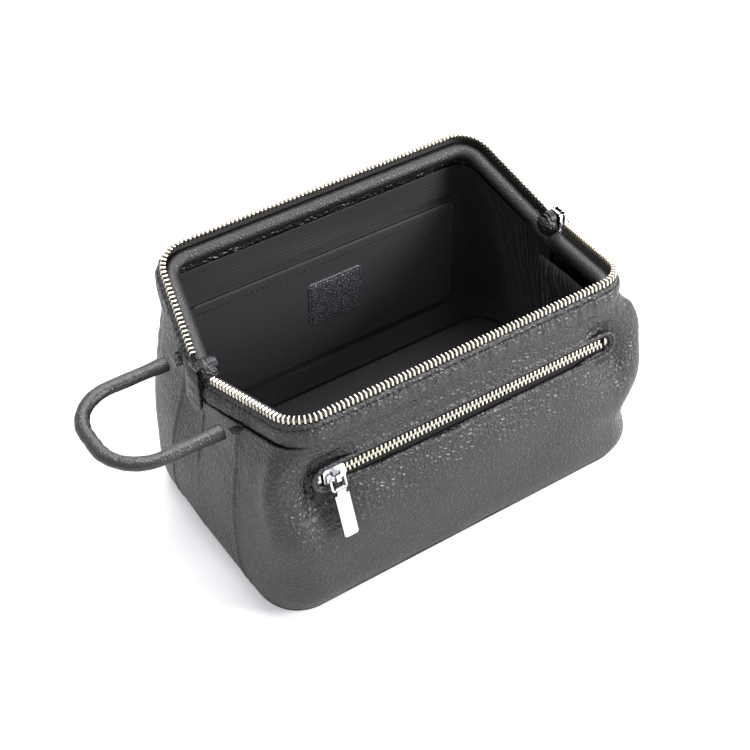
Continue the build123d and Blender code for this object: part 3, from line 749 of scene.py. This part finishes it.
def windowBead():
    # turned leather edge round the pocket window
    reach = bag["windowLength"] / 2 - bag["windowHeight"] / 2
    r = bag["windowHeight"] / 2 + 1.1
    straight = 2 * reach
    total = 2 * straight + 2 * math.pi * r
    d = np.linspace(0, total, 900, endpoint=False)
    arc = math.pi * r
    x = np.where(d < straight, -reach + d, 0)
    z = np.where(d < straight, r, 0)
    k = (d >= straight) & (d < straight + arc)
    angle = (d - straight) / r
    x = np.where(k, reach + r * np.sin(angle), x)
    z = np.where(k, r * np.cos(angle), z)
    k = (d >= straight + arc) & (d < 2 * straight + arc)
    x = np.where(k, reach - (d - straight - arc), x)
    z = np.where(k, -r, z)
    k = d >= 2 * straight + arc
    angle = (d - 2 * straight - arc) / r
    x = np.where(k, -reach - r * np.sin(angle), x)
    z = np.where(k, -r * np.cos(angle), z)
    zz = bag["windowZ"] + z * math.cos(lean)
    _, yy = halfOutline(-1, np.full_like(zz, 0.5), zz, 0.0)
    sizes = levelAt(zz)
    over = np.maximum(np.abs(x) - (sizes[..., 0] - sizes[..., 4]), 0)
    yy = yy + sizes[..., 4] - np.sqrt(np.maximum(sizes[..., 4] ** 2 - over ** 2, 1))
    centre = np.stack([x, yy + 0.45, zz], -1)
    closed = np.concatenate([centre, centre[:1]])
    return tubeAlong(closed, 1.15, 14, "window_edge", leatherMat)


bead = windowBead()
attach(bead, "bag")


def softTab():
    # leather tab folded over the zip's end at the left hinge
    lo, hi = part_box("zip_end_tab")
    rows, cols = 60, 30
    t, u = np.meshgrid(np.linspace(0, 1, rows), np.linspace(-1, 1, cols), indexing="ij")
    half = 7.0 - 3.6 * bump(t, 0.0, 0.22)
    z = hi[2] / mm - 0.6 - t * 25
    y = hy + u * half * np.sqrt(np.clip(1 - 0.55 * np.clip((t - 0.85) / 0.15, 0, 1) ** 2, 0, 1))
    x = lo[0] / mm - 1.4 + 1.2 * u ** 2 + 1.4 * np.clip((0.12 - t) / 0.12, 0, 1) ** 2
    x = x + 0.3 * np.sin(t * 20) * (1 - u ** 2)
    z = z - 0.6 * u ** 2
    obj = newMesh("zip_end_leather", np.stack([x, y, z], -1).reshape(-1, 3), gridFaces(rows, cols), leatherMat)
    solid = obj.modifiers.new("thickness", "SOLIDIFY")
    solid.thickness = 2.2 * mm
    solid.offset = 0
    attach(obj, "bag")
    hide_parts("zip_end_tab")


softTab()

# places of the folded leather over each hinge, and of the rolled leather joining the two casings' feet
hingeCaps = {
    "left": {"centre": (-110.0, 9.0, 116.5), "radii": (6.0, 7.5, 6.8), "side": -1},
    "right": {"centre": (106.8, 9.0, 115.5), "radii": (4.6, 6.8, 6.2), "side": 1},
}


def hingeCap(word, centre, radii):
    # an ellipsoid by two angles, its radius pleated a little round the middle
    rows, ring = 40, 72
    pole = 0.02  # the grid stops just short of the poles, and end faces close it
    u, w = np.meshgrid(np.linspace(pole, math.pi - pole, rows),
                       np.linspace(0, 2 * math.pi, ring, endpoint=False), indexing="ij")
    pleat = 1 + (0.025 * np.sin(11 * w) + 0.02 * np.sin(5 * w + 1)) * np.sin(u) ** 2
    p = np.stack([centre[0] + radii[0] * pleat * np.sin(u) * np.cos(w),
                  centre[1] + radii[1] * pleat * np.sin(u) * np.sin(w),
                  centre[2] + radii[2] * np.cos(u)], -1)
    faces = list(map(tuple, gridFaces(rows, ring, closed=True))) + endCaps(rows, ring)
    obj = newMesh(f"{word}_hinge_leather", p.reshape(-1, 3), faces, leatherMat)
    fixNormals(obj)
    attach(obj, "bag")


def casingJoin(word, side):
    # rolled leather under the hinge, on one bow from the front casing's foot to the back one's
    t = np.linspace(0, 1, 60)
    front, middle, back = np.array([(side * 108, -4, 108.6), (side * 109, 9, 103.4), (side * 108, 24, 113)])
    bow = (1 - t[:, None]) ** 2 * front + 2 * t[:, None] * (1 - t[:, None]) * middle + t[:, None] ** 2 * back
    obj = tubeAlong(bow, 5.2, 32, f"{word}_casing_join", rollMat)
    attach(obj, "bag")


for word, cap in hingeCaps.items():
    hingeCap(word, cap["centre"], cap["radii"])
    casingJoin(word, cap["side"])


def stitchRow(name, points, ways, body, length=2.6, gap=1.1, thick=0.32):
    # short thread stitches laid along points; ways lift them off the surface
    p = np.asarray(points, float)
    step = np.linalg.norm(np.diff(p, axis=0), axis=1)
    dist = np.concatenate([[0], np.cumsum(step)])
    starts = np.arange(0.5, dist[-1] - length, length + gap)
    at = starts[:, None] + np.linspace(0, length, 5)
    line = np.stack([np.interp(at, dist, p[:, j]) for j in range(3)], -1)
    lift = np.stack([np.interp(at, dist, ways[:, j]) for j in range(3)], -1)
    line = line + lift * (0.28 * np.sin(np.linspace(0.1, math.pi - 0.1, 5)))[None, :, None]
    sideways = np.cross(line[:, -1:] - line[:, :1], lift)
    sideways /= np.linalg.norm(sideways, axis=-1, keepdims=True) + 1e-9
    ring = 6
    angle = np.linspace(0, 2 * math.pi, ring, endpoint=False)
    verts = line[:, :, None] + thick * (np.cos(angle)[:, None] * sideways[:, :, None]
                                        + np.sin(angle)[:, None] * lift[:, :, None])
    shift = (np.arange(len(starts)) * 5 * ring)[:, None, None]
    faces = (gridFaces(5, ring, closed=True)[None] + shift).reshape(-1, 4)
    obj = newMesh(name, verts.reshape(-1, 3), faces, threadMat)
    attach(obj, body)


rimStitch = {"lift": 2.2, "across": 7.2}  # mm above the rim line, and across the band
for side, word in ((-1, "front"), (1, "back")):
    d, total, x, v, ox, ov = rimPath(700)
    lift = rimStitch["lift"]
    line = rimPoints(side, x + ox * lift, v + ov * lift, rimStitch["across"])
    raised = rimPoints(side, x + ox * (lift + 1), v + ov * (lift + 1), rimStitch["across"]) - line
    stitchRow(f"{word}_rim_stitches", line, raised, f"{word}_frame")
hemX = np.linspace(-84, 84, 200)
hem = np.stack([hemX, np.full_like(hemX, 70.0), np.full_like(hemX, 96.0)], -1)
stitchRow("hem_stitches", hem, np.tile([0, -1.0, 0], (200, 1)), "bag", 2.2, 0.9, 0.22)
print("stitches done")


def bevelNode(node, mat, width):
    dressNode(node, mat)
    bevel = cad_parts[node].modifiers.new("soft_edges", "BEVEL")
    bevel.width = width * mm
    bevel.segments = 3
    bevel.limit_method = "ANGLE"
    bevel.angle_limit = math.radians(35)


for node in ("pocket_slider", "mouth_slider", "pocket_puller", "mouth_puller"):
    bevelNode(node, chromeMat, 0.3)
for node in ("pocket_bail", "mouth_bail"):
    bevelNode(node, chromeMat, 0.02)
bevelNode("pocket_stops", goldMat, 0.25)
for node in ("front_frame_wire", "back_frame_wire", "left_hinge_rivet", "right_hinge_rivet"):
    bevelNode(node, steelMat, 0.25)
print("hardware done")
